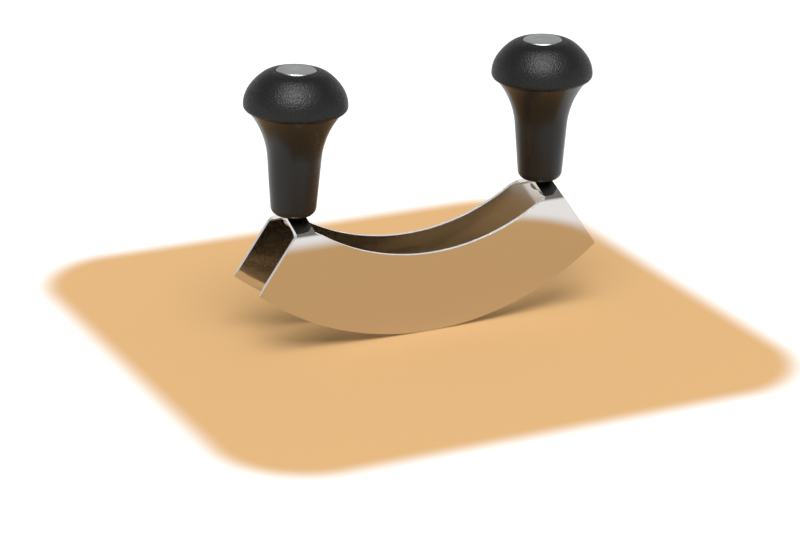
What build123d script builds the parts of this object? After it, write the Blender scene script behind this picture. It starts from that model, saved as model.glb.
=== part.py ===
from build123d import *
from math import cos, radians, sin, tan
import os

# Mezzaluna: two crescent blades cut and bent from one sheet, with a mushroom knob screwed to each bridge.
# Millimetres. X runs along the blades, Y across them, Z up. The origin is midway along the cutting edges, at
# their lowest line.

# Blade frame
blade_length = 150.0  # tip to tip
frame_width = 25.6  # outer face to outer face
sheet = 1.5
tip_rise = 26.4  # height of the tips over the lowest point of the edge
waist_height = 33.3  # lowest point of the concave top edge
fold_height = 48.9  # where the blade's outer face and the roof's outer face would meet unrounded
roof_angle = 22.5  # slope of the roof that each bridge forms
bend_radius = 1.0  # inside radius of every bend
bridge_setback = 20.0  # from the tip in to the centre of the bridge
bridge_width = 7.8
inner_step = 3.5  # from the bridge in to the end of the top arc, at the start of the bend
outer_step = 1.5  # from the bridge out to the end of the blade, at the start of the bend
shoulder_round = 2.5
inner_corner_round = 0.8
tip_round = 0.5

# Ground cutting edge
edge_land = 0.2  # thickness left at the very edge
outer_bevel_height = 0.9
outer_bevel_depth = 0.35
inner_bevel_height = 3.5

# Knob, heights over the foot of the stem
handle_lean = 1.0  # each knob leans this many degrees towards the other
seat_depth = 0.6  # how far the notch in the foot straddles the ridge
foot_radius = 8.75
foot_round = 3.5
cone_radius = 10.55  # where the straight lower stem ends
cone_height = 23.0
crease_height = 42.4  # the line where stem and dome meet
dome_radius = 20.3
dome_height = 15.7  # over the crease
rim_round = 2.0  # from the crease out to the dome's widest line
side_share = (0.153, 0.474)  # end of the dome's first arc: in towards the disc, and up from the rim
shoulder_share = (0.533, 0.852)  # end of its second arc
crease_chamfer = 0.25  # on the stem, a fine groove under the dome
spigot_radius = 9.0
spigot_height = 3.6
pocket_web = 1.5  # of the dome, between the spigot and the washer

# Cap disc
disc_radius = 7.75
disc_thickness = 1.6
disc_proud = 0.35
disc_chamfer = 0.3
recess_chamfer = 0.3

# Screw, nut and washers
screw_radius = 2.0
head_radius = 3.8
head_height = 2.2
head_crown_radius = 2.2  # flat on top of the domed head
socket_size = 2.5  # across flats
socket_depth = 1.3
nut_size = 7.0  # across flats
nut_height = 3.2
nut_chamfer = 0.4  # on the corners, at both ends
hexagon_sides = 6
thread_beyond_nut = 1.0
washer_radius = 4.5
washer_thickness = 0.8
saddle_thickness = 1.7  # at the ridge
saddle_length = 6.8  # along the bridge's width
saddle_width = 7.2  # across the ridge
saddle_flat = 1.2  # width of the flat on its peak

# Clearances
screw_clearance = 0.25  # round the screw in every hole
spigot_clearance = 0.1
pocket_clearance = 0.3  # round the washer
disc_clearance = 0.05
thread_clearance = 0.02  # round the screw in its nut
overrun = 2.0  # how far a cut runs past what it cuts

# Worked out from the sizes above
bend_outer = bend_radius + sheet
ridge_height = fold_height + frame_width / 2 * tan(radians(roof_angle))
ridge_top = ridge_height - bend_outer * (1 / cos(radians(roof_angle)) - 1)
bend_start = fold_height - bend_outer * tan(radians((90 - roof_angle) / 2))
ridge_under = ridge_height - sheet / cos(radians(roof_angle))
edge_radius = (tip_rise**2 + (blade_length / 2) ** 2) / (2 * tip_rise)
bridge_centre = blade_length / 2 - bridge_setback
bridge_inner = bridge_centre - bridge_width / 2
bridge_outer = bridge_centre + bridge_width / 2
arc_end = bridge_inner - inner_step
blade_end = bridge_outer + outer_step
seat_height = ridge_top - seat_depth
hole_radius = screw_radius + screw_clearance
crease_radius = dome_radius - rim_round
dome_top = crease_height + dome_height
recess_floor = dome_top + disc_proud - disc_thickness
screw_seat = ridge_under - saddle_thickness - seat_height
pocket_floor = crease_height + spigot_height + pocket_web
nut_seat = pocket_floor + washer_thickness
screw_end = nut_seat + nut_height + thread_beyond_nut

os.makedirs("parts", exist_ok=True)


def knob_plane(side, height=0.0):
    """Plane square to the axis of one knob, at a height over the foot of its stem."""
    lean = radians(handle_lean)
    foot = Plane(
        origin=(side * bridge_centre, 0, seat_height),
        x_dir=(cos(lean), 0, side * sin(lean)),
        z_dir=(-side * sin(lean), 0, cos(lean)),
    )
    return foot.offset(height)


def profile_plane(side):
    """Plane through the axis of one knob: x is the radius, y the height over the foot."""
    foot = knob_plane(side)
    return Plane(origin=foot.origin, x_dir=foot.x_dir, z_dir=-foot.y_dir)


def knob_axis(side):
    """Axis of one knob."""
    foot = knob_plane(side)
    return Axis(foot.origin, foot.z_dir)


# Blade frame: the folded section, run the whole length and cut to the outline of the blades and bridges
with BuildPart() as blade_frame:
    with BuildSketch(Plane.YZ) as folded_section:
        with BuildLine():
            FilletPolyline(
                (-frame_width / 2, -overrun),
                (-frame_width / 2, fold_height),
                (0, ridge_height),
                (frame_width / 2, fold_height),
                (frame_width / 2, -overrun),
                radius=bend_outer,
            )
            offset(amount=sheet, side=Side.RIGHT)
        make_face()
    extrude(amount=blade_length / 2 + overrun, both=True)

    with BuildSketch(Plane.XZ) as outline:
        with BuildLine():
            ThreePointArc((-blade_length / 2, tip_rise), (0, 0), (blade_length / 2, tip_rise))
            end_edge = FilletPolyline(
                (blade_length / 2, tip_rise),
                (blade_end, bend_start),
                (bridge_outer, fold_height),
                (bridge_outer, ridge_height + overrun),
                radius=shoulder_round,
            )
            bridge_top = Line(end_edge @ 1, (bridge_inner, ridge_height + overrun))
            inner_edge = FilletPolyline(
                bridge_top @ 1,
                (bridge_inner, fold_height),
                (arc_end, bend_start),
                radius=inner_corner_round,
            )
            mirror(end_edge, about=Plane.YZ)
            mirror(bridge_top, about=Plane.YZ)
            mirror(inner_edge, about=Plane.YZ)
            ThreePointArc((-arc_end, bend_start), (0, waist_height), (arc_end, bend_start))
        make_face()
        fillet(outline.vertices().group_by(Axis.X)[0] + outline.vertices().group_by(Axis.X)[-1], tip_round)
    extrude(amount=frame_width, both=True, mode=Mode.INTERSECT)

    # The bevels are turned about the axis of the cutting edge
    inner_bevel_depth = sheet - edge_land - outer_bevel_depth
    with BuildSketch(Plane.YZ) as bevels:
        with BuildLine():
            Polyline(
                (frame_width / 2, outer_bevel_height),
                (frame_width / 2 - outer_bevel_depth, 0),
                (frame_width / 2 - outer_bevel_depth, -overrun),
                (frame_width / 2 + overrun, -overrun),
                (frame_width / 2 + overrun, outer_bevel_height),
                close=True,
            )
        make_face()
        with BuildLine():
            Polyline(
                (frame_width / 2 - sheet, inner_bevel_height),
                (frame_width / 2 - sheet + inner_bevel_depth, 0),
                (frame_width / 2 - sheet + inner_bevel_depth, -overrun),
                (frame_width / 2 - sheet - overrun, -overrun),
                (frame_width / 2 - sheet - overrun, inner_bevel_height),
                close=True,
            )
        make_face()
        mirror(about=Plane.YZ)
    revolve(axis=Axis((0, 0, edge_radius), (0, 1, 0)), mode=Mode.SUBTRACT)

    with Locations(knob_plane(-1, overrun).location, knob_plane(1, overrun).location):
        Hole(hole_radius, depth=2 * overrun + sheet + seat_depth)

blade_frame.part.label = "blade_frame"
export_step(blade_frame.part, "parts/blade_frame.step")

for side, name in ((-1, "left"), (1, "right")):
    # Stem: a turned form with a spigot for the dome and a notch that straddles the ridge
    with BuildPart() as stem:
        with BuildSketch(profile_plane(side)) as stem_profile:
            with BuildLine():
                foot_curve = FilletPolyline(
                    (hole_radius, 0),
                    (foot_radius, 0),
                    (cone_radius, cone_height),
                    radius=foot_round,
                )
                flare = TangentArc(
                    foot_curve @ 1,
                    (crease_radius, crease_height - crease_chamfer),
                    tangent=foot_curve % 1,
                )
                Polyline(
                    flare @ 1,
                    (crease_radius - crease_chamfer, crease_height),
                    (spigot_radius, crease_height),
                    (spigot_radius, crease_height + spigot_height),
                    (hole_radius, crease_height + spigot_height),
                    foot_curve @ 0,
                )
            make_face()
        revolve(axis=knob_axis(side))
        with BuildSketch(Plane.YZ.offset(side * bridge_centre)) as ridge_section:
            with BuildLine():
                Polyline(
                    (0, ridge_height),
                    (frame_width / 2, fold_height),
                    (-frame_width / 2, fold_height),
                    close=True,
                )
            make_face()
        extrude(amount=2 * foot_radius, both=True, mode=Mode.SUBTRACT)
    stem.part.label = name + "_stem"
    export_step(stem.part, "parts/" + name + "_stem.step")

    # Dome: the grained cap, open below for the spigot and above for the nut and the disc
    with BuildPart() as dome:
        with BuildSketch(profile_plane(side)) as dome_profile:
            with BuildLine():
                rim = TangentArc(
                    (crease_radius, crease_height),
                    (dome_radius, crease_height + rim_round),
                    tangent=(1, 0),
                )
                run = dome_radius - disc_radius
                rise = dome_height - rim_round
                side_end = rim @ 1 + Vector(-side_share[0] * run, side_share[1] * rise)
                shoulder_end = rim @ 1 + Vector(-shoulder_share[0] * run, shoulder_share[1] * rise)
                side_arc = TangentArc(rim @ 1, side_end, tangent=rim % 1)
                shoulder_arc = TangentArc(side_end, shoulder_end, tangent=side_arc % 1)
                crown_arc = TangentArc(
                    shoulder_end,
                    (disc_radius + disc_clearance + recess_chamfer, dome_top),
                    tangent=shoulder_arc % 1,
                )
                Polyline(
                    crown_arc @ 1,
                    (disc_radius + disc_clearance, dome_top - recess_chamfer),
                    (disc_radius + disc_clearance, recess_floor),
                    (washer_radius + pocket_clearance, recess_floor),
                    (washer_radius + pocket_clearance, pocket_floor),
                    (hole_radius, pocket_floor),
                    (hole_radius, crease_height + spigot_height),
                    (spigot_radius + spigot_clearance, crease_height + spigot_height),
                    (spigot_radius + spigot_clearance, crease_height),
                    rim @ 0,
                )
            make_face()
        revolve(axis=knob_axis(side))
    dome.part.label = name + "_dome"
    export_step(dome.part, "parts/" + name + "_dome.step")

    # Cap disc: closes the recess and stands a little proud of it
    with BuildPart() as cap_disc:
        with BuildSketch(knob_plane(side, recess_floor)):
            Circle(disc_radius)
        extrude(amount=disc_thickness)
        chamfer(cap_disc.edges().group_by(knob_axis(side))[-1], disc_chamfer)
    cap_disc.part.label = name + "_cap_disc"
    export_step(cap_disc.part, "parts/" + name + "_cap_disc.step")

    # Screw: button head with a hexagon socket, under the bridge
    with BuildPart() as bolt:
        with BuildSketch(profile_plane(side)) as bolt_profile:
            with BuildLine():
                head_side = Polyline(
                    (0, screw_end),
                    (screw_radius, screw_end),
                    (screw_radius, screw_seat),
                    (head_radius, screw_seat),
                )
                head_crown = TangentArc(
                    head_side @ 1,
                    (head_crown_radius, screw_seat - head_height),
                    tangent=(0, -1),
                )
                Polyline(head_crown @ 1, (0, screw_seat - head_height), head_side @ 0)
            make_face()
        revolve(axis=knob_axis(side))
        with BuildSketch(knob_plane(side, screw_seat - head_height)):
            RegularPolygon(socket_size / 2, hexagon_sides, major_radius=False)
        extrude(amount=socket_depth, mode=Mode.SUBTRACT)
    bolt.part.label = name + "_bolt"
    export_step(bolt.part, "parts/" + name + "_bolt.step")

    # Saddle washer: its top follows the underside of the roof, its bottom is square to the screw
    with BuildPart() as saddle_washer:
        with BuildSketch(knob_plane(side, screw_seat)):
            Rectangle(saddle_length, saddle_width)
            Circle(hole_radius, mode=Mode.SUBTRACT)
        extrude(amount=2 * saddle_thickness)
        with BuildSketch(Plane.YZ.offset(side * bridge_centre)) as roof_underside:
            with BuildLine():
                saddle_drop = saddle_width * tan(radians(roof_angle))
                flat_drop = saddle_flat / 2 * tan(radians(roof_angle))
                Polyline(
                    (saddle_flat / 2, ridge_under - flat_drop),
                    (saddle_width, ridge_under - saddle_drop),
                    (saddle_width, ridge_under - 2 * saddle_drop),
                    (-saddle_width, ridge_under - 2 * saddle_drop),
                    (-saddle_width, ridge_under - saddle_drop),
                    (-saddle_flat / 2, ridge_under - flat_drop),
                    close=True,
                )
            make_face()
        extrude(amount=saddle_length, both=True, mode=Mode.INTERSECT)
    saddle_washer.part.label = name + "_saddle_washer"
    export_step(saddle_washer.part, "parts/" + name + "_saddle_washer.step")

    # Flat washer on the floor of the dome's pocket
    with BuildPart() as washer:
        with BuildSketch(knob_plane(side, pocket_floor)):
            Circle(washer_radius)
            Circle(hole_radius, mode=Mode.SUBTRACT)
        extrude(amount=washer_thickness)
    washer.part.label = name + "_washer"
    export_step(washer.part, "parts/" + name + "_washer.step")

    # Hexagon nut, its corners turned off at both ends
    with BuildPart() as nut:
        with BuildSketch(knob_plane(side, nut_seat)):
            Circle(nut_size / 2 / cos(radians(180 / hexagon_sides)))
        extrude(amount=nut_height)
        chamfer(nut.edges().filter_by(GeomType.CIRCLE), nut_chamfer)
        with BuildSketch(knob_plane(side, nut_seat)):
            RegularPolygon(nut_size / 2, hexagon_sides, major_radius=False)
            Circle(screw_radius + thread_clearance, mode=Mode.SUBTRACT)
        extrude(amount=nut_height, mode=Mode.INTERSECT)
    nut.part.label = name + "_nut"
    export_step(nut.part, "parts/" + name + "_nut.step")
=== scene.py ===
from math import acos, cos, pi, radians, sin, tan

import bmesh
import bpy
from mathutils import Euler, Matrix, Vector


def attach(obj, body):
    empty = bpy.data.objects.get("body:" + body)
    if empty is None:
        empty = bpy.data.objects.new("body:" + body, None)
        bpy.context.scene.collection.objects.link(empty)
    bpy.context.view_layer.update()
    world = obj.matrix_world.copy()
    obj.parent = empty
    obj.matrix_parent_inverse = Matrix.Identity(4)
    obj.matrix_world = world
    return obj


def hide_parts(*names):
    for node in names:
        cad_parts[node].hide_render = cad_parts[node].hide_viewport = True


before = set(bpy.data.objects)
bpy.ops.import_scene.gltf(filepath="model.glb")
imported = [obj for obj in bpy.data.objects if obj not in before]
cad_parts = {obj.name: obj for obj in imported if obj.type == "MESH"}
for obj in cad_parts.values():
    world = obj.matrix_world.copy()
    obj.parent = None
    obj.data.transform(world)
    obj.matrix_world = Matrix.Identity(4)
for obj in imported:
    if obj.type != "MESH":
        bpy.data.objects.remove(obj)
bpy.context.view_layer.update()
mm = 0.001
weld = 0.000001  # metres within which two points become one
print("frame loaded:", len(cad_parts), "nodes")


def newObject(name, data):
    obj = bpy.data.objects.new(name, data)
    bpy.context.collection.objects.link(obj)
    return obj


# Camera, at the place and angle of the photograph
camera = {
    "place": (-478.7, -922.85, 414.28),  # mm from the middle of the cutting edges
    "turn": (69.3594, -1.0505, -26.6342),  # degrees
    "lens": 124.4,
    "sensor": 36.0,
    "clip": (0.05, 30.0),  # metres
}


def makeCamera():
    data = bpy.data.cameras.new("camera")
    data.lens = camera["lens"]
    data.sensor_width = camera["sensor"]
    data.sensor_fit = "HORIZONTAL"
    data.clip_start, data.clip_end = camera["clip"]
    cam = newObject("camera", data)
    cam.location = Vector(camera["place"]) * mm
    cam.rotation_euler = Euler([radians(a) for a in camera["turn"]])
    bpy.context.scene.camera = cam


# Small helpers for node trees
def addNode(tree, kind, inputs=None, **settings):
    node = tree.nodes.new(kind)
    for key, value in settings.items():
        setattr(node, key, value)
    for key, value in (inputs or {}).items():
        if isinstance(value, bpy.types.NodeSocket):
            tree.links.new(value, node.inputs[key])
        else:
            node.inputs[key].default_value = value
    return node


def addMath(tree, operation, a, b=None):
    node = tree.nodes.new("ShaderNodeMath")
    node.operation = operation
    for socket, value in zip(node.inputs, (a, b)):
        if isinstance(value, bpy.types.NodeSocket):
            tree.links.new(value, socket)
        elif value is not None:
            socket.default_value = value
    return node.outputs[0]


def addVector(tree, operation, a, b=(0, 0, 0), output="Vector"):
    return addNode(tree, "ShaderNodeVectorMath", {0: a, 1: b}, operation=operation).outputs[output]


def mapRange(tree, value, low, high, newLow, newHigh, smooth=False):
    node = addNode(
        tree,
        "ShaderNodeMapRange",
        {"Value": value, "From Min": low, "From Max": high, "To Min": newLow, "To Max": newHigh},
    )
    if smooth:
        node.interpolation_type = "SMOOTHSTEP"
    return node.outputs["Result"]


def mixColours(tree, factor, first, second):
    node = addNode(tree, "ShaderNodeMix", {"Factor": factor}, data_type="RGBA")
    node.inputs["A"].default_value = first
    node.inputs["B"].default_value = second
    return node.outputs["Result"]


# Helpers for finishes
def newMaterial(name):
    material = bpy.data.materials.new(name)
    material.use_nodes = True
    tree = material.node_tree
    shader = tree.nodes["Principled BSDF"]
    place = addNode(tree, "ShaderNodeTexCoord").outputs["Object"]
    return material, tree, shader, place


def newSteel(name, colour):
    material, tree, shader, place = newMaterial(name)
    shader.inputs["Metallic"].default_value = 1.0
    shader.inputs["Base Color"].default_value = colour
    return material, tree, shader, place


def addNoise(tree, place, scale, detail, roughness=0.5):
    inputs = {"Vector": place, "Scale": scale, "Detail": detail, "Roughness": roughness}
    return addNode(tree, "ShaderNodeTexNoise", inputs).outputs["Fac"]


# Noise drawn out into lines, by a scale of its own along each axis
def addLines(tree, place, scales, detail):
    drawnOut = addNode(tree, "ShaderNodeMapping", {"Vector": place, "Scale": scales}).outputs["Vector"]
    return addNoise(tree, drawnOut, 1.0, detail)


def varyRoughness(tree, shader, noise, span, roughness):
    tree.links.new(mapRange(tree, noise, *span, *roughness), shader.inputs["Roughness"])


def addBump(tree, shader, height, depth, under=None):
    node = addNode(tree, "ShaderNodeBump", {"Height": height, "Strength": 1.0, "Distance": depth})
    if under is not None:
        tree.links.new(under, node.inputs["Normal"])
    tree.links.new(node.outputs["Normal"], shader.inputs["Normal"])
    return node.outputs["Normal"]


# Finishes. Depths are in metres, and a span is the part of a noise that the roughness follows
mirrorSteel = {
    "colour": (0.63, 0.61, 0.595, 1),
    # darker than the outside colour: painted shade on the faces between the blades and under the roofs
    "insideShadeColour": (0.52, 0.515, 0.505, 1),
    "roughness": (0.012, 0.05),
    "insideRoughness": (0.09, 0.15),
    "smudgeScale": 90.0,
    "smudgeSpan": (0.4, 0.75),
    "waveScale": 28.0,  # slow unevenness of the polished sheet
    "waveDepth": 0.00003,
    "scratchScale": (160.0, 1400.0, 1400.0),
    "scratchDepth": 0.0000008,
}


def makeMirrorSteel(name, colour, roughness):
    m = mirrorSteel
    material, tree, shader, place = newSteel(name, colour)
    smudges = addNoise(tree, place, m["smudgeScale"], detail=4.0, roughness=0.6)
    varyRoughness(tree, shader, smudges, m["smudgeSpan"], roughness)
    waves = addNoise(tree, place, m["waveScale"], detail=1.0)
    scratches = addLines(tree, place, m["scratchScale"], detail=2.0)
    first = addBump(tree, shader, waves, m["waveDepth"])
    addBump(tree, shader, scratches, m["scratchDepth"], first)
    return material


groundSteel = {
    "colour": (0.62, 0.61, 0.6, 1),
    "roughness": (0.1, 0.2),
    "lineScale": (1500.0, 300.0, 300.0),  # grinding marks run across the edge
    "lineSpan": (0.3, 0.7),
    "lineDepth": 0.0000004,
}
# Cut faces of the sheet: a rough, lined finish, and its near-white colour is a painted highlight along
# the cut edges
cutSteel = {
    "colour": (0.96, 0.96, 0.96, 1),
    "roughness": (0.45, 0.62),
    "lineScale": (300.0, 1300.0, 300.0),
    "lineSpan": (0.3, 0.7),
    "lineDepth": 0.000001,
}


def makeLinedSteel(name, finish):
    material, tree, shader, place = newSteel(name, finish["colour"])
    lines = addLines(tree, place, finish["lineScale"], detail=3.0)
    varyRoughness(tree, shader, lines, finish["lineSpan"], finish["roughness"])
    addBump(tree, shader, lines, finish["lineDepth"])
    return material


smoothPlastic = {
    "colour": (0.006, 0.005, 0.0042, 1),
    "ior": 1.5,
    "specular": 0.33,
    "roughness": (0.27, 0.36),
    "rubScale": 70.0,
    "rubSpan": (0.35, 0.7),
    "poreScale": 900.0,
    "poreDepth": 0.000004,
}


def makeSmoothPlastic():
    p = smoothPlastic
    material, tree, shader, place = newMaterial("smoothPlastic")
    shader.inputs["Base Color"].default_value = p["colour"]
    shader.inputs["IOR"].default_value = p["ior"]
    shader.inputs["Specular IOR Level"].default_value = p["specular"]
    rub = addNoise(tree, place, p["rubScale"], detail=5.0, roughness=0.6)
    varyRoughness(tree, shader, rub, p["rubSpan"], p["roughness"])
    pores = addNoise(tree, place, p["poreScale"], detail=2.0)
    addBump(tree, shader, pores, p["poreDepth"])
    return material


grainedPlastic = {
    "topColour": (0.012, 0.012, 0.0125, 1),
    # painted shade: the grain's valleys are coloured darker than its tops
    "valleyShadeColour": (0.003, 0.003, 0.0031, 1),
    "ior": 1.5,
    "specular": (0.3, 0.1),  # face on, and where the grain hides itself at a low angle
    "facingSpan": (0.05, 0.75),  # of Layer Weight, from face on to a low angle
    "roughness": (0.3, 0.5),  # on the tops and in the valleys
    "grainScale": 1450.0,
    "grainDepth": 0.00011,
    "fineScale": 2600.0,
    "fineSpan": (0.38, 0.62),
    "fineDepth": 0.00006,
}


def makeGrainedPlastic():
    p = grainedPlastic
    material, tree, shader, place = newMaterial("grainedPlastic")
    shader.inputs["IOR"].default_value = p["ior"]
    facing = addNode(tree, "ShaderNodeLayerWeight", {"Blend": 0.5}).outputs["Facing"]
    gloss = mapRange(tree, facing, *p["facingSpan"], *p["specular"], smooth=True)
    tree.links.new(gloss, shader.inputs["Specular IOR Level"])
    grain = addNode(tree, "ShaderNodeTexVoronoi", {"Vector": place, "Scale": p["grainScale"]})
    fine = addNoise(tree, place, p["fineScale"], detail=2.0, roughness=0.6)
    valley, top = p["fineSpan"]
    height = mapRange(tree, fine, valley, top, 0.0, 1.0)
    # The tint follows the grain's height, so the valleys are painted darker as painted shade in the
    # grain
    tint = mixColours(tree, height, p["valleyShadeColour"], p["topColour"])
    tree.links.new(tint, shader.inputs["Base Color"])
    varyRoughness(tree, shader, fine, (top, valley), p["roughness"])
    first = addBump(tree, shader, grain.outputs["Distance"], p["grainDepth"])
    addBump(tree, shader, fine, p["fineDepth"], first)
    return material


discSteel = {
    "colour": (0.355, 0.36, 0.365, 1),
    "roughness": (0.24, 0.42),
    "span": (0.35, 0.65),
    "brushShare": 0.6,  # of the brushing in the roughness, and the rest is cloud
    "brushScale": (180.0, 5200.0, 180.0),
    "brushDepth": 0.000006,
    "cloudScale": 200.0,
    "cloudDepth": 0.0002,
}


def makeDiscSteel():
    d = discSteel
    material, tree, shader, place = newSteel("discSteel", d["colour"])
    brush = addLines(tree, place, d["brushScale"], detail=3.0)
    cloud = addNoise(tree, place, d["cloudScale"], detail=2.0)
    brushPart = addMath(tree, "MULTIPLY", brush, d["brushShare"])
    cloudPart = addMath(tree, "MULTIPLY", cloud, 1 - d["brushShare"])
    varyRoughness(tree, shader, addMath(tree, "ADD", brushPart, cloudPart), d["span"], d["roughness"])
    first = addBump(tree, shader, cloud, d["cloudDepth"])
    addBump(tree, shader, brush, d["brushDepth"], first)
    return material


fastenerSteel = {
    "colour": (0.5, 0.5, 0.505, 1),
    "roughness": (0.22, 0.38),
    "spotScale": 700.0,
    "spotSpan": (0.35, 0.7),
    "spotDepth": 0.000008,
}


def makeFastenerSteel():
    f = fastenerSteel
    material, tree, shader, place = newSteel("fastenerSteel", f["colour"])
    spots = addNoise(tree, place, f["spotScale"], detail=4.0, roughness=0.65)
    varyRoughness(tree, shader, spots, f["spotSpan"], f["roughness"])
    addBump(tree, shader, spots, f["spotDepth"])
    return material


finishes = {
    "mirror": makeMirrorSteel("mirrorSteel", mirrorSteel["colour"], mirrorSteel["roughness"]),
    # a darker, rougher copy of the mirror steel, whose darker colour is painted shade between the
    # blades
    "inside": makeMirrorSteel(
        "insideSteel", mirrorSteel["insideShadeColour"], mirrorSteel["insideRoughness"]
    ),
    "ground": makeLinedSteel("groundSteel", groundSteel),
    "cut": makeLinedSteel("cutSteel", cutSteel),
    "smooth": makeSmoothPlastic(),
    "grained": makeGrainedPlastic(),
    "disc": makeDiscSteel(),
    "fastener": makeFastenerSteel(),
}
print("finishes made:", ", ".join(finishes))


# Drawing helpers, in mm. An arc leaves its start in a given direction and meets its end
def arcPoints(start, direction, end, steps):
    start, direction, end = Vector(start), Vector(direction).normalized(), Vector(end)
    chord = end - start
    across = Vector((-direction.y, direction.x))
    bend = 2 * chord.dot(across) / chord.length_squared
    centre = start + across / bend
    half = direction.angle_signed(chord)
    points = []
    for step in range(1, steps + 1):
        turn = Matrix.Rotation(-2 * half * step / steps, 2)
        points.append(centre + turn @ (start - centre))
    last = Matrix.Rotation(-2 * half, 2) @ direction
    return points, last


def roundedCorner(before, corner, after, radius, steps):
    before, corner, after = Vector(before), Vector(corner), Vector(after)
    inward, onward = (before - corner).normalized(), (after - corner).normalized()
    reach = radius / tan(acos(max(-1, min(1, inward.dot(onward)))) / 2)
    start = corner + inward * reach
    points, last = arcPoints(start, -inward, corner + onward * reach, steps)
    return [start] + points


def newCurve(name, points):
    curve = bpy.data.curves.new(name, "CURVE")
    curve.dimensions = "3D"
    spline = curve.splines.new("POLY")
    spline.points.add(len(points) - 1)
    for spot, point in zip(spline.points, points):
        spot.co = (point[0] * mm, point[1] * mm, 0, 1)
    return newObject(name, curve)


def meshFromWork(name, work):
    bmesh.ops.recalc_face_normals(work, faces=work.faces)
    mesh = bpy.data.meshes.new(name)
    work.to_mesh(mesh)
    work.free()
    return newObject(name, mesh)


# An outline of places along the blades and heights, made solid from -reach to reach across them
def solidFromOutline(name, points, reach):
    work = bmesh.new()
    front = [work.verts.new((p[0] * mm, -reach * mm, p[1] * mm)) for p in points]
    back = [work.verts.new((p[0] * mm, reach * mm, p[1] * mm)) for p in points]
    work.faces.new(front)
    work.faces.new(reversed(back))
    for here in range(len(points)):
        there = (here + 1) % len(points)
        work.faces.new((front[there], front[here], back[here], back[there]))
    return meshFromWork(name, work)


def cleanMesh(piece, sharpAngle):
    work = bmesh.new()
    work.from_mesh(piece.data)
    bmesh.ops.remove_doubles(work, verts=work.verts, dist=weld)
    bmesh.ops.recalc_face_normals(work, faces=work.faces)
    work.to_mesh(piece.data)
    work.free()
    piece.data.shade_smooth()
    piece.data.set_sharp_from_angle(angle=radians(sharpAngle))


# Helpers for Geometry Nodes
def newTree(name, sockets):
    tree = bpy.data.node_groups.new(name, "GeometryNodeTree")
    tree.interface.new_socket("Geometry", in_out="INPUT", socket_type="NodeSocketGeometry")
    for label, kind in sockets.items():
        tree.interface.new_socket(label, in_out="INPUT", socket_type="NodeSocket" + kind)
    tree.interface.new_socket("Geometry", in_out="OUTPUT", socket_type="NodeSocketGeometry")
    return tree, addNode(tree, "NodeGroupInput").outputs


def endTree(tree, mesh, finish):
    real = addNode(tree, "GeometryNodeRealizeInstances", {"Geometry": mesh}).outputs["Geometry"]
    coated = addNode(tree, "GeometryNodeSetMaterial", {"Geometry": real, "Material": finish})
    addNode(tree, "NodeGroupOutput", {"Geometry": coated.outputs["Geometry"]})


def meshOf(tree, obj):
    return addNode(tree, "GeometryNodeObjectInfo", {"Object": obj}).outputs["Geometry"]


def runTree(obj, tree, values):
    modifier = obj.modifiers.new(tree.name, "NODES")
    modifier.node_group = tree
    for item in tree.interface.items_tree:
        if item.item_type == "SOCKET" and item.in_out == "INPUT" and item.name in values:
            modifier[item.identifier] = values[item.name]
    evaluated = obj.evaluated_get(bpy.context.evaluated_depsgraph_get())
    mesh = bpy.data.meshes.new_from_object(evaluated)
    obj.modifiers.remove(modifier)
    name = obj.name
    bpy.data.objects.remove(obj)
    mesh.name = name
    return newObject(name, mesh)


# Turned form: a profile of radius and height, turned about the knob's axis
def makeTurnedTree():
    sockets = {"Steps": "Int", "Foot": "Vector", "Lean": "Float", "Finish": "Material"}
    tree, given = newTree("turnedForm", sockets)
    wire = addNode(tree, "GeometryNodeCurveToMesh", {"Curve": given["Geometry"]}).outputs["Mesh"]
    size = addNode(tree, "GeometryNodeAttributeDomainSize", {"Geometry": wire})
    rows = size.outputs["Point Count"]
    columns = addMath(tree, "ADD", given["Steps"], 1.0)
    grid = addNode(tree, "GeometryNodeMeshGrid", {"Vertices X": rows, "Vertices Y": columns})
    index = addNode(tree, "GeometryNodeInputIndex").outputs["Index"]
    row = addMath(tree, "FLOOR", addMath(tree, "DIVIDE", index, columns))
    column = addMath(tree, "SUBTRACT", index, addMath(tree, "MULTIPLY", row, columns))
    angle = addMath(tree, "DIVIDE", addMath(tree, "MULTIPLY", column, 2 * pi), given["Steps"])
    position = addNode(tree, "GeometryNodeInputPosition").outputs["Position"]
    spot = addNode(
        tree,
        "GeometryNodeSampleIndex",
        {"Geometry": wire, "Index": row},
        data_type="FLOAT_VECTOR",
        clamp=True,
    )
    tree.links.new(position, spot.inputs["Value"])
    parts = addNode(tree, "ShaderNodeSeparateXYZ", {"Vector": spot.outputs["Value"]}).outputs
    turned = addNode(
        tree,
        "ShaderNodeCombineXYZ",
        {
            "X": addMath(tree, "MULTIPLY", parts["X"], addMath(tree, "COSINE", angle)),
            "Y": addMath(tree, "MULTIPLY", parts["X"], addMath(tree, "SINE", angle)),
            "Z": parts["Y"],
        },
    ).outputs["Vector"]
    shaped = addNode(
        tree, "GeometryNodeSetPosition", {"Geometry": grid.outputs["Mesh"], "Position": turned}
    ).outputs["Geometry"]
    closed = addNode(
        tree, "GeometryNodeMergeByDistance", {"Geometry": shaped, "Distance": weld}
    ).outputs["Geometry"]
    lean = addNode(tree, "ShaderNodeCombineXYZ", {"Y": given["Lean"]}).outputs["Vector"]
    placed = addNode(
        tree,
        "GeometryNodeTransform",
        {"Geometry": closed, "Translation": given["Foot"], "Rotation": lean},
    ).outputs["Geometry"]
    endTree(tree, placed, given["Finish"])
    return tree


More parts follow.
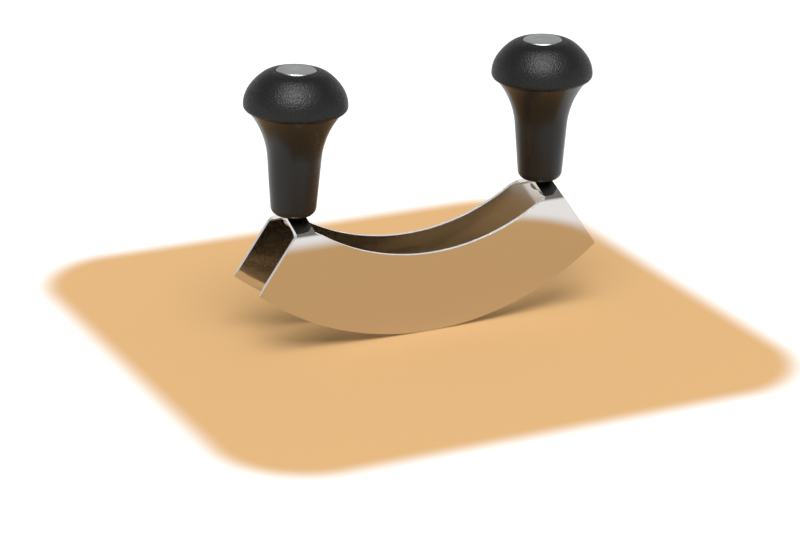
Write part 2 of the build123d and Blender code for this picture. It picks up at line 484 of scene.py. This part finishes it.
def makeCutTree():
    tree, given = newTree("cutAway", {"Cutter": "Object", "Finish": "Material"})
    cut = addNode(tree, "GeometryNodeMeshBoolean", operation="DIFFERENCE", solver="EXACT")
    tree.links.new(given["Geometry"], cut.inputs["Mesh 1"])
    tree.links.new(meshOf(tree, given["Cutter"]), cut.inputs["Mesh 2"])
    endTree(tree, cut.outputs["Mesh"], given["Finish"])
    return tree


turnedForm = makeTurnedTree()
cutAway = makeCutTree()


# What both knobs and the blade frame go by
knob = {
    "foot": (55.0, 53.4),  # distance out and height of the foot of each knob's axis
    "lean": 1.0,  # degrees towards the other knob
    "bore": 2.25,  # radius of the hole for the screw
    "steps": 192,
    "sharpAngle": 32,
}


# Blade frame: the folded section swept to full length, cut to the outline, then ground
blades = {
    "length": 150.0,
    "width": 25.6,
    "sheet": 1.5,
    "tipRise": 26.4,
    "waist": 33.3,
    "fold": 48.9,
    "roofAngle": 22.5,
    "bendRadius": 1.0,
    "bridgeWidth": 7.8,
    "innerStep": 3.5,
    "outerStep": 1.5,
    "shoulderRound": 2.5,
    "innerRound": 0.8,
    "tipRound": 0.5,
    "edgeLand": 0.2,
    "outerBevel": (0.9, 0.35),  # height and depth
    "innerBevel": 3.5,
    "overrun": 2.0,
    "holeReach": 4.0,  # of the screw holes, over and under the foot of the knob
    "edgeSteps": 128,
    "spareSteps": 8,  # of the bevel cutters, past each tip
    "arcSteps": 96,
    "bendSteps": 14,
    "tipSteps": 6,
    "shoulderSteps": (4, 12),  # under the fold, and beside the bridge
    "innerSteps": 8,
    "holeSteps": 64,
    "sharpAngle": 25,
    "edgeRound": 0.07,  # of the corners that turn by more than the angle below
    "edgeAngle": 35,
}


def bladeSizes():
    b = blades
    slope = radians(b["roofAngle"])
    outer = b["bendRadius"] + b["sheet"]
    edgeRadius = (b["tipRise"] ** 2 + (b["length"] / 2) ** 2) / (2 * b["tipRise"])
    return {
        "slope": slope,
        "bendOuter": outer,
        "ridge": b["fold"] + b["width"] / 2 * tan(slope),
        "bendStart": b["fold"] - outer * tan((pi / 2 - slope) / 2),
        "edgeRadius": edgeRadius,
        "edgeReach": acos(1 - b["tipRise"] / edgeRadius),
        "bridgeIn": knob["foot"][0] - b["bridgeWidth"] / 2,
        "bridgeOut": knob["foot"][0] + b["bridgeWidth"] / 2,
    }


# Places across the blades and heights, along the middle of the sheet
def foldLine():
    b, s = blades, bladeSizes()
    side = b["width"] / 2 - b["sheet"] / 2
    drop = b["sheet"] / 2 / cos(s["slope"])
    corner = b["fold"] + b["sheet"] / 2 * tan(s["slope"]) - drop
    return [
        (-side, -b["overrun"]),
        (-side, corner),
        (0, s["ridge"] - drop),
        (side, corner),
        (side, -b["overrun"]),
    ]


def edgeArc():
    radius, reach = bladeSizes()["edgeRadius"], bladeSizes()["edgeReach"]
    points = []
    for step in range(blades["edgeSteps"] + 1):
        angle = reach * (2 * step / blades["edgeSteps"] - 1)
        points.append(Vector((radius * sin(angle), radius - radius * cos(angle))))
    return points


def topArc(end):
    waist = blades["waist"]
    rise = end.y - waist
    radius = (rise**2 + end.x**2) / (2 * rise)
    reach = acos(1 - rise / radius)
    points = []
    for step in range(blades["arcSteps"] + 1):
        angle = reach * (1 - 2 * step / blades["arcSteps"])
        points.append(Vector((radius * sin(angle), waist + radius - radius * cos(angle))))
    return points


def bladeOutline():
    b, s = blades, bladeSizes()
    over = s["ridge"] + b["overrun"]
    tip = (b["length"] / 2, b["tipRise"])
    end = (s["bridgeOut"] + b["outerStep"], s["bendStart"])
    shoulder = (s["bridgeOut"], b["fold"])
    outerTop = Vector((s["bridgeOut"], over))
    innerTop = Vector((s["bridgeIn"], over))
    corner = (s["bridgeIn"], b["fold"])
    arcEnd = Vector((s["bridgeIn"] - b["innerStep"], s["bendStart"]))
    endSteps, shoulderSteps = b["shoulderSteps"]
    edge = edgeArc()
    right = roundedCorner(edge[-2], tip, end, b["tipRound"], b["tipSteps"])
    right += roundedCorner(tip, end, shoulder, b["shoulderRound"], endSteps)
    right += roundedCorner(end, shoulder, outerTop, b["shoulderRound"], shoulderSteps)
    right += [outerTop, innerTop]
    right += roundedCorner(innerTop, corner, arcEnd, b["innerRound"], b["innerSteps"])
    left = [Vector((-p.x, p.y)) for p in reversed(right)]
    return edge[1:-1] + right + topArc(arcEnd) + left


# Sections of the outer and the inner cutter, as radii about the edge's centre and places across
def bevelSections():
    b, edgeRadius = blades, bladeSizes()["edgeRadius"]
    outside = b["width"] / 2
    inside = outside - b["sheet"]
    height, depth = b["outerBevel"]
    landOut = outside - depth
    landIn = landOut - b["edgeLand"]
    over = b["overrun"]
    outer = [
        (outside, height),
        (landOut, 0),
        (landOut, -over),
        (outside + over, -over),
        (outside + over, height),
    ]
    inner = [
        (inside, b["innerBevel"]),
        (landIn, 0),
        (landIn, -over),
        (inside - over, -over),
        (inside - over, b["innerBevel"]),
    ]
    return [[(edgeRadius - z, y) for y, z in part] for part in (outer, inner)]


def addBevelCutter(work, section, side):
    s = bladeSizes()
    stepAngle = 2 * s["edgeReach"] / blades["edgeSteps"]
    spare = blades["spareSteps"]
    rings = []
    for step in range(-spare, blades["edgeSteps"] + spare + 1):
        angle = stepAngle * step - s["edgeReach"]
        ring = []
        for radius, across in section:
            height = (s["edgeRadius"] - radius * cos(angle)) * mm
            ring.append(work.verts.new((radius * mm * sin(angle), side * across * mm, height)))
        rings.append(ring)
    for ring, following in zip(rings, rings[1:]):
        for here in range(len(ring)):
            there = (here + 1) % len(ring)
            work.faces.new((ring[here], ring[there], following[there], following[here]))
    work.faces.new(rings[0])
    work.faces.new(rings[-1])


def addHoleCutter(work, side):
    place = Matrix.Translation(Vector((side * knob["foot"][0], 0, knob["foot"][1])) * mm)
    lean = Matrix.Rotation(radians(-side * knob["lean"]), 4, "Y")
    bmesh.ops.create_cone(
        work,
        cap_ends=True,
        segments=blades["holeSteps"],
        radius1=knob["bore"] * mm,
        radius2=knob["bore"] * mm,
        depth=2 * blades["holeReach"] * mm,
        matrix=place @ lean,
    )


def makeBladeCutters():
    work = bmesh.new()
    for section in bevelSections():
        for side in (-1, 1):
            addBevelCutter(work, section, side)
    for side in (-1, 1):
        addHoleCutter(work, side)
    return meshFromWork("bevelCutters", work)


def makeBladeTree():
    tree, given = newTree(
        "foldedBlades",
        {
            "Outline": "Object",
            "Cutters": "Object",
            "Sheet": "Float",
            "Length": "Float",
            "Bend radius": "Float",
            "Bend steps": "Int",
            "Finish": "Material",
        },
    )
    rounded = addNode(
        tree,
        "GeometryNodeFilletCurve",
        {"Curve": given["Geometry"], "Radius": given["Bend radius"], "Count": given["Bend steps"]},
        mode="POLY",
    ).outputs["Curve"]
    upright = addNode(tree, "GeometryNodeSetCurveNormal", {"Curve": rounded}, mode="Z_UP")
    strip = addNode(
        tree,
        "GeometryNodeCurvePrimitiveQuadrilateral",
        {"Width": given["Sheet"], "Height": given["Length"]},
    ).outputs["Curve"]
    plate = addNode(
        tree,
        "GeometryNodeCurveToMesh",
        {"Curve": upright.outputs["Curve"], "Profile Curve": strip, "Fill Caps": True},
    ).outputs["Mesh"]
    position = addNode(tree, "GeometryNodeInputPosition").outputs["Position"]
    parts = addNode(tree, "ShaderNodeSeparateXYZ", {"Vector": position}).outputs
    stoodUp = addNode(
        tree, "ShaderNodeCombineXYZ", {"X": parts["Z"], "Y": parts["X"], "Z": parts["Y"]}
    ).outputs["Vector"]
    folded = addNode(
        tree, "GeometryNodeSetPosition", {"Geometry": plate, "Position": stoodUp}
    ).outputs["Geometry"]
    cut = addNode(tree, "GeometryNodeMeshBoolean", operation="INTERSECT", solver="EXACT")
    tree.links.new(folded, cut.inputs["Mesh 2"])
    tree.links.new(meshOf(tree, given["Outline"]), cut.inputs["Mesh 2"])
    ground = addNode(tree, "GeometryNodeMeshBoolean", operation="DIFFERENCE", solver="EXACT")
    tree.links.new(cut.outputs["Mesh"], ground.inputs["Mesh 1"])
    tree.links.new(meshOf(tree, given["Cutters"]), ground.inputs["Mesh 2"])
    endTree(tree, ground.outputs["Mesh"], given["Finish"])
    return tree


# The finish of a face of the blades, told by its normal and its place
faceTests = {
    "cutAcross": 0.02,  # the most that the normal of a cut face points across the blades
    "endAlong": 0.7,  # the least that the normal of a tip's end face points along them
    "bendAlong": 0.01,  # the most that the normal of a bend does
    "bevelAcross": (0.5, 0.9999),
    "bevelTop": 40.0,  # mm
    "bevelSlack": 0.1,  # mm over the height of the inner bevel
    "underside": -0.1,  # normals lower than this belong to the underside of a roof
}


def finishFaces(mesh):
    names = ("mirror", "ground", "cut", "inside")
    mesh.materials.clear()
    for name in names:
        mesh.materials.append(finishes[name])
    t, s = faceTests, bladeSizes()
    centre = Vector((0, s["edgeRadius"])) * mm
    bevelRadius = (s["edgeRadius"] - blades["innerBevel"] - t["bevelSlack"]) * mm
    low, high = t["bevelAcross"]
    for face in mesh.polygons:
        n, c = face.normal, face.center
        nearEdge = (Vector((c.x, c.z)) - centre).length > bevelRadius and c.z < t["bevelTop"] * mm
        bent = c.z > s["bendStart"] * mm and abs(n.x) < t["bendAlong"]
        finish = "mirror"
        if abs(n.y) < t["cutAcross"] and not bent:
            # cut faces take the near-white steel, a painted highlight on the sheet's edges
            finish = "ground" if abs(n.x) > t["endAlong"] else "cut"
        elif low < abs(n.y) < high and nearEdge:
            finish = "ground"
        # faces between the blades and under the roofs take the darker steel, as painted shade
        elif n.y * c.y < 0 or n.z < t["underside"]:
            finish = "inside"
        face.material_index = names.index(finish)


def roundEdges(piece):
    rounding = piece.modifiers.new("edgeRound", "BEVEL")
    rounding.width = blades["edgeRound"] * mm
    rounding.segments = 2
    rounding.limit_method = "ANGLE"
    rounding.angle_limit = radians(blades["edgeAngle"])
    weighted = piece.modifiers.new("faceNormals", "WEIGHTED_NORMAL")
    weighted.keep_sharp = True
    weighted.weight = 100


def makeBlades():
    b, s = blades, bladeSizes()
    outline = solidFromOutline("outlineCutter", bladeOutline(), b["width"])
    cutters = makeBladeCutters()
    piece = runTree(
        newCurve("bladeFrame", foldLine()),
        makeBladeTree(),
        {
            "Outline": outline,
            "Cutters": cutters,
            "Sheet": b["sheet"] * mm,
            "Length": (b["length"] + 2 * b["overrun"]) * mm,
            "Bend radius": (s["bendOuter"] - b["sheet"] / 2) * mm,
            "Bend steps": b["bendSteps"],
            "Finish": finishes["mirror"],
        },
    )
    bpy.data.objects.remove(outline)
    bpy.data.objects.remove(cutters)
    cleanMesh(piece, b["sharpAngle"])
    finishFaces(piece.data)
    roundEdges(piece)
    size = [round(v / mm, 2) for v in piece.dimensions]
    print("blade frame faces:", len(piece.data.polygons), "box:", size)
    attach(piece, "root")
    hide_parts("blade_frame")


# Knobs: a stem, a dome and a disc on each side, turned from profiles of radius and height
stem = {
    "footRadius": 8.75,
    "footRound": 3.5,
    "coneRadius": 10.55,
    "coneHeight": 23.0,
    "creaseRadius": 18.3,
    "creaseHeight": 42.4,
    "creaseChamfer": 0.25,
    "spigotRadius": 9.0,
    "spigotHeight": 3.6,
    "footSteps": 20,
    "flareSteps": 40,
}
dome = {
    "radius": 20.3,
    "rimRound": 2.0,
    "height": 15.7,
    "discHole": 7.8,
    "holeChamfer": 0.3,
    "recessFloor": 56.85,
    "pocket": (4.8, 47.5),  # radius and floor, for the washer and nut
    "spigotHole": 9.1,
    "sideEnd": (0.153, 0.474),  # shares of the way in to the disc and up from the rim
    "shoulderEnd": (0.533, 0.852),
    "rimSteps": 16,
    "arcSteps": 24,
}
disc = {
    "radius": 7.75,
    "thickness": 1.6,
    "chamfer": 0.3,
}


def stemProfile():
    s, bore = stem, knob["bore"]
    foot = (s["footRadius"], 0)
    cone = (s["coneRadius"], s["coneHeight"])
    flareEnd = (s["creaseRadius"], s["creaseHeight"] - s["creaseChamfer"])
    spigotTop = s["creaseHeight"] + s["spigotHeight"]
    points = [(bore, 0)]
    points += roundedCorner(points[0], foot, cone, s["footRound"], s["footSteps"])
    points.append(Vector(cone))
    flare, last = arcPoints(cone, points[-1] - points[-2], flareEnd, s["flareSteps"])
    points += flare
    points.append((s["creaseRadius"] - s["creaseChamfer"], s["creaseHeight"]))
    points.append((s["spigotRadius"], s["creaseHeight"]))
    points.append((s["spigotRadius"], spigotTop))
    points.append((bore, spigotTop))
    points.append(points[0])
    return points


def domeProfile():
    d, bore, crease = dome, knob["bore"], stem["creaseHeight"]
    run = d["radius"] - disc["radius"]
    rise = d["height"] - d["rimRound"]
    top = crease + d["height"]
    spigotTop = crease + stem["spigotHeight"]
    pocket, pocketFloor = d["pocket"]
    rimStart = (d["radius"] - d["rimRound"], crease)
    rimTop = Vector((d["radius"], crease + d["rimRound"]))
    sideEnd = rimTop + Vector((-d["sideEnd"][0] * run, d["sideEnd"][1] * rise))
    shoulderEnd = rimTop + Vector((-d["shoulderEnd"][0] * run, d["shoulderEnd"][1] * rise))
    crownEnd = Vector((d["discHole"] + d["holeChamfer"], top))
    rim, way = arcPoints(rimStart, (1, 0), rimTop, d["rimSteps"])
    side, way = arcPoints(rimTop, way, sideEnd, d["arcSteps"])
    shoulder, way = arcPoints(sideEnd, way, shoulderEnd, d["arcSteps"])
    crown, way = arcPoints(shoulderEnd, way, crownEnd, d["arcSteps"])
    hollow = [
        (d["discHole"], top - d["holeChamfer"]),
        (d["discHole"], d["recessFloor"]),
        (pocket, d["recessFloor"]),
        (pocket, pocketFloor),
        (bore, pocketFloor),
        (bore, spigotTop),
        (d["spigotHole"], spigotTop),
        (d["spigotHole"], crease),
    ]
    return [rimStart] + rim + side + shoulder + crown + hollow + [rimStart]


def discProfile():
    floor = dome["recessFloor"]
    top = floor + disc["thickness"]
    return [
        (0, floor),
        (disc["radius"], floor),
        (disc["radius"], top - disc["chamfer"]),
        (disc["radius"] - disc["chamfer"], top),
        (0, top),
    ]


def turnProfile(name, side, points, finish):
    piece = runTree(
        newCurve(name, points),
        turnedForm,
        {
            "Steps": knob["steps"],
            "Foot": Vector((side * knob["foot"][0], 0, knob["foot"][1])) * mm,
            "Lean": radians(-side * knob["lean"]),
            "Finish": finishes[finish],
        },
    )
    cleanMesh(piece, knob["sharpAngle"])
    return piece


# The foot of the stem straddles the ridge of the roof
def notchFoot(piece, side):
    half = blades["width"] / 2
    section = [(0, bladeSizes()["ridge"]), (half, blades["fold"]), (-half, blades["fold"])]
    cutter = solidFromOutline("roofCutter", section, 2 * stem["footRadius"])
    place = Matrix.Translation((side * knob["foot"][0] * mm, 0, 0))
    cutter.data.transform(place @ Matrix.Rotation(pi / 2, 4, "Z"))
    piece = runTree(piece, cutAway, {"Cutter": cutter, "Finish": finishes["smooth"]})
    bpy.data.objects.remove(cutter)
    cleanMesh(piece, knob["sharpAngle"])
    return piece


def makeKnobs():
    for side, name in ((-1, "left"), (1, "right")):
        for part, node, profile, finish, slot in (
            ("Stem", "_stem", stemProfile(), "smooth", "stem_plastic"),
            ("Dome", "_dome", domeProfile(), "grained", "dome_plastic"),
            ("Disc", "_cap_disc", discProfile(), "disc", "disc_steel"),
        ):
            piece = turnProfile(name + part, side, profile, finish)
            if part == "Stem":
                piece = notchFoot(piece, side)
            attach(piece, "root")
            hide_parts(name + node)
        print(name, "knob turned")


# Screws, nuts and washers keep their solids
def dressFasteners():
    for name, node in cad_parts.items():
        if name.split("_", 1)[1] in ("bolt", "saddle_washer", "washer", "nut"):
            node.data.materials.clear()
            node.data.materials.append(finishes["fastener"])


# Floor and light. Places and lengths are in metres, and angles in degrees
studio = {
    "sand": (0.83, 0.51, 0.235, 1),
    "white": (0.93, 0.93, 0.93, 1),
    "middle": (-0.003, 0, 0),
    "corner": (0.085, 0.083, 1),  # from the middle to where the sand's round corners start
    "fade": (0.03, 0.046),  # distances past that line where the floor turns from sand to white
    "farGlow": 0.3,
    "floorSize": 8.0,
    "floorRoughness": 0.9,
    "skyForSurfaces": 0.4,
    "skyTop": 0.25,  # what shiny things see overhead, from 1 at the horizon
    "skyFade": (0.1, 0.65),
    "key": {"towards": (0.19, 0.377, -0.906), "angle": 40.0, "strength": 2.0},
    "softbox": {"inner": 16.0, "outer": 32.0, "glow": 4.2},  # about the key, for shiny things
    "glossyBounces": 12,  # the two blades mirror each other many times
}


# 1 for what the camera sees, itself or in shiny and clear things, and 0 for light on a surface
def seenDirectly(tree):
    path = addNode(tree, "ShaderNodeLightPath").outputs
    shiny = addMath(tree, "MAXIMUM", path["Is Glossy Ray"], path["Is Transmission Ray"])
    unscattered = addMath(tree, "LESS_THAN", path["Diffuse Depth"], 0.5)
    mirrored = addMath(tree, "MULTIPLY", shiny, unscattered)
    return addMath(tree, "MAXIMUM", path["Is Camera Ray"], mirrored)


def makeFloor():
    half = studio["floorSize"] / 2
    corners = [(-half, -half, 0), (half, -half, 0), (half, half, 0), (-half, half, 0)]
    mesh = bpy.data.meshes.new("floor")
    mesh.from_pydata(corners, [], [(0, 1, 2, 3)])
    floor = newObject("floor", mesh)
    material, tree, shader, place = newMaterial("floorPaint")
    away = addVector(tree, "ABSOLUTE", addVector(tree, "SUBTRACT", place, studio["middle"]))
    past = addVector(tree, "MAXIMUM", addVector(tree, "SUBTRACT", away, studio["corner"]))
    distance = addVector(tree, "LENGTH", past, output="Value")
    faded = mapRange(tree, distance, *studio["fade"], 0.0, 1.0, smooth=True)
    tint = mixColours(tree, faded, studio["sand"], studio["white"])
    tree.links.new(tint, shader.inputs["Base Color"])
    shader.inputs["Roughness"].default_value = studio["floorRoughness"]
    shader.inputs["Specular IOR Level"].default_value = 0.0
    shader.inputs["Emission Color"].default_value = (1, 1, 1, 1)
    glow = addMath(tree, "MULTIPLY", faded, studio["farGlow"])
    seenGlow = addMath(tree, "MULTIPLY", glow, seenDirectly(tree))
    tree.links.new(seenGlow, shader.inputs["Emission Strength"])
    mesh.materials.append(material)


def makeWorld():
    world = bpy.data.worlds.new("studio")
    world.use_nodes = True
    tree = world.node_tree
    back = tree.nodes["Background"]
    back.inputs["Color"].default_value = (1, 1, 1, 1)
    direction = addNode(tree, "ShaderNodeTexCoord").outputs["Generated"]
    height = addNode(tree, "ShaderNodeSeparateXYZ", {"Vector": direction}).outputs["Z"]
    sky = mapRange(tree, height, *studio["skyFade"], 1.0, studio["skyTop"], smooth=True)
    softbox = studio["softbox"]
    towardsKey = -Vector(studio["key"]["towards"])
    nearKey = addVector(tree, "DOT_PRODUCT", direction, towardsKey, output="Value")
    outer, inner = cos(radians(softbox["outer"])), cos(radians(softbox["inner"]))
    glow = mapRange(tree, nearKey, outer, inner, 0.0, softbox["glow"], smooth=True)
    path = addNode(tree, "ShaderNodeLightPath").outputs
    whole = addMath(tree, "MAXIMUM", addMath(tree, "ADD", sky, glow), path["Is Camera Ray"])
    seen = seenDirectly(tree)
    unseen = addMath(tree, "SUBTRACT", 1.0, seen)
    forEyes = addMath(tree, "MULTIPLY", seen, whole)
    forSurfaces = addMath(tree, "MULTIPLY", unseen, studio["skyForSurfaces"])
    tree.links.new(addMath(tree, "ADD", forEyes, forSurfaces), back.inputs["Strength"])
    bpy.context.scene.world = world


def makeKey():
    key = studio["key"]
    data = bpy.data.lights.new("key", "SUN")
    data.angle = radians(key["angle"])
    data.energy = key["strength"]
    lamp = newObject("key", data)
    lamp.rotation_euler = Vector(key["towards"]).to_track_quat("-Z", "Y").to_euler()


bpy.context.scene.view_settings.view_transform = "Standard"
bpy.context.scene.cycles.glossy_bounces = studio["glossyBounces"]
makeCamera()
makeKnobs()
makeBlades()
dressFasteners()
makeFloor()
makeWorld()
makeKey()
print("floor and light set")
